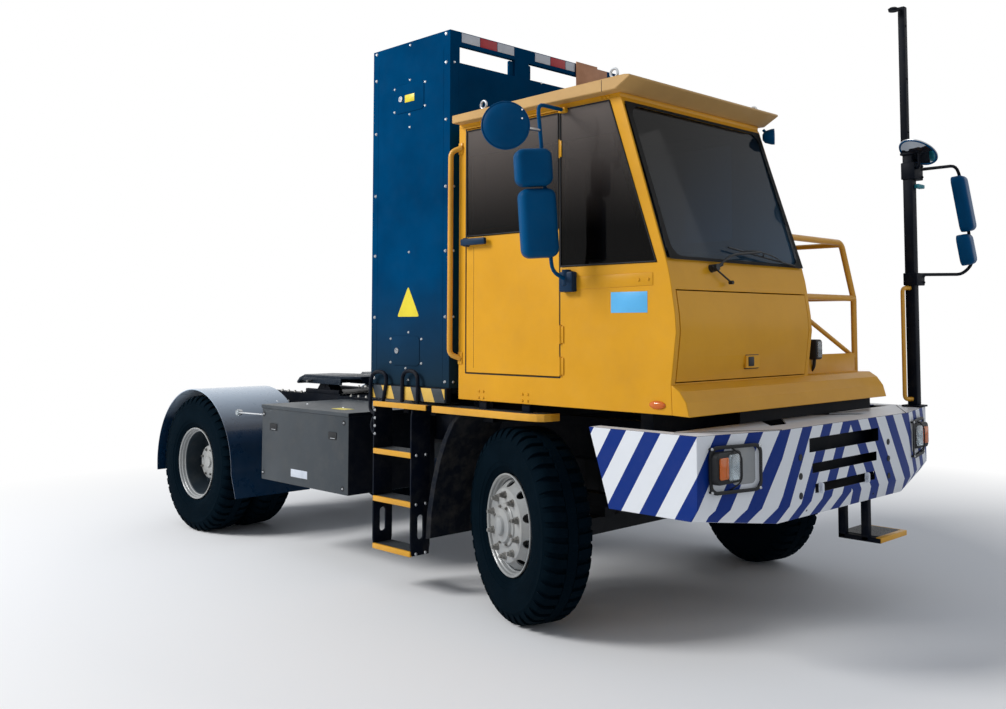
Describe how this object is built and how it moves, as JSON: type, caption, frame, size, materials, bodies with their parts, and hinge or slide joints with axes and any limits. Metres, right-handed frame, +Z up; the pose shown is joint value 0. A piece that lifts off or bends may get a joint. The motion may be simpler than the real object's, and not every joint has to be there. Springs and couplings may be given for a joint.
{
  "type": "terminal tractor",
  "caption": "Battery-electric port terminal tractor with an offset one-person cab, a tall battery tower behind it, dual rear wheels and a tilting fifth wheel coupling.",
  "frame": {"origin": "on the ground under the middle of the tractor's overall box", "axes": "+X forward, towards the bumper; +Y to the tractor's left; +Z up"},
  "size_m": [5.7874, 3.4638, 3.73],
  "materials": {
    "frame_black": "satin, blue-black chassis paint",
    "running_gear_black": "satin black",
    "wheel_silver": "semi-gloss silver",
    "tyre": "matt black",
    "bumper_white": "gloss, white with blue slanted stripes",
    "cab_yellow": "gloss yellow-orange",
    "tower_navy": "high gloss navy blue",
    "box_navy": "satin navy blue",
    "step_black": "satin black, yellow tread noses",
    "trim_black": "matt black",
    "rail_yellow": "gloss yellow",
    "glass_dark": "tinted",
    "lamp_body": "gloss",
    "battery_grey": "matt",
    "seat_cloth": "woven black"
  },
  "bodies": {
    "chassis": {"chassis_frame": "frame_black", "drive_motor": "running_gear_black", "prop_shaft": "running_gear_black", "front_axle": "running_gear_black", "rear_axle": "running_gear_black", "leaf_springs": "running_gear_black", "front_bumper": "bumper_white", "headlamps": "lamp_body", "front_step": "step_black", "rear_fenders": "trim_black", "front_mudguards": "trim_black", "battery_tower": "tower_navy", "battery_pack": "battery_grey", "tower_base": "frame_black", "side_boxes": "box_navy", "access_ladder": "step_black", "step_board": "step_black", "cab_handrail": "rail_yellow", "cab_shell": "cab_yellow", "cab_roof": "cab_yellow", "front_skirt": "cab_yellow", "cab_glass": "glass_dark", "driver_seat": "seat_cloth", "dashboard": "trim_black", "steering_wheel": "trim_black", "left_platform": "cab_yellow", "platform_railing": "rail_yellow", "mirror_pole": "frame_black", "left_mirrors": "trim_black", "right_mirrors": "trim_black", "fifth_wheel_mount": "frame_black", "tail_lamps": "lamp_body"},
    "cab_door": {"cab_door": "cab_yellow", "door_window": "glass_dark"},
    "hood": {"hood_flap": "cab_yellow"},
    "fifth_wheel": {"fifth_wheel_plate": "running_gear_black"},
    "tie_rod": {"tie_rod": "running_gear_black"},
    "right_knuckle": {"knuckle_right": "running_gear_black"},
    "front_right_wheel": {"front_tyre_right": "tyre", "front_rim_right": "wheel_silver", "front_hub_right": "running_gear_black"},
    "rear_right_wheel": {"rear_tyres_right": "tyre", "rear_rims_right": "wheel_silver", "rear_hub_right": "running_gear_black"},
    "left_knuckle": {"knuckle_left": "running_gear_black"},
    "front_left_wheel": {"front_tyre_left": "tyre", "front_rim_left": "wheel_silver", "front_hub_left": "running_gear_black"},
    "rear_left_wheel": {"rear_tyres_left": "tyre", "rear_rims_left": "wheel_silver", "rear_hub_left": "running_gear_black"}
  },
  "joints": [
    {"name": "right_steering", "type": "hinge", "parent": "chassis", "child": "right_knuckle", "pos_m": [1.45, -0.96, 0.539], "axis": [0, 0, 1], "range_deg": [-13.1, 50.9]},
    {"name": "front_right_wheel_spin", "type": "hinge", "parent": "right_knuckle", "child": "front_right_wheel", "pos_m": [1.40238, -1.09907, 0.539], "axis": [0.3239, 0.9461, 0], "continuous": true},
    {"name": "rear_right_wheel_spin", "type": "hinge", "parent": "chassis", "child": "rear_right_wheel", "pos_m": [-2.24, -0.937, 0.539], "axis": [0, 1, 0], "continuous": true},
    {"name": "left_steering", "type": "hinge", "parent": "chassis", "child": "left_knuckle", "pos_m": [1.45, 0.96, 0.539], "axis": [0, 0, 1], "range_deg": [-13.1, 50.9]},
    {"name": "front_left_wheel_spin", "type": "hinge", "parent": "left_knuckle", "child": "front_left_wheel", "pos_m": [1.49762, 1.09907, 0.539], "axis": [0.3239, 0.9461, 0], "continuous": true},
    {"name": "rear_left_wheel_spin", "type": "hinge", "parent": "chassis", "child": "rear_left_wheel", "pos_m": [-2.24, 0.937, 0.539], "axis": [0, 1, 0], "continuous": true},
    {"name": "tie_rod_pivot", "type": "hinge", "parent": "right_knuckle", "child": "tie_rod", "pos_m": [1.26078, -0.89522, 0.397], "axis": [0, 0, 1], "range_deg": [-50.9, 13.1]},
    {"name": "door_hinge", "type": "hinge", "parent": "chassis", "child": "cab_door", "pos_m": [1.754, -1.204, 2.09], "axis": [0, 0, 1], "range_deg": [0, 75]},
    {"name": "hood_hinge", "type": "hinge", "parent": "chassis", "child": "hood", "pos_m": [2.488, -0.548, 1.83], "axis": [0, -1, 0], "range_deg": [0, 75]},
    {"name": "fifth_wheel_rock", "type": "hinge", "parent": "chassis", "child": "fifth_wheel", "pos_m": [-1.65, 0, 1.15], "axis": [0, 1, 0], "range_deg": [-10, 10]}
  ],
  "couplings": [
    {"joint": "left_steering", "follows": "right_steering", "ratio": 1},
    {"joint": "tie_rod_pivot", "follows": "right_steering", "ratio": -1}
  ]
}
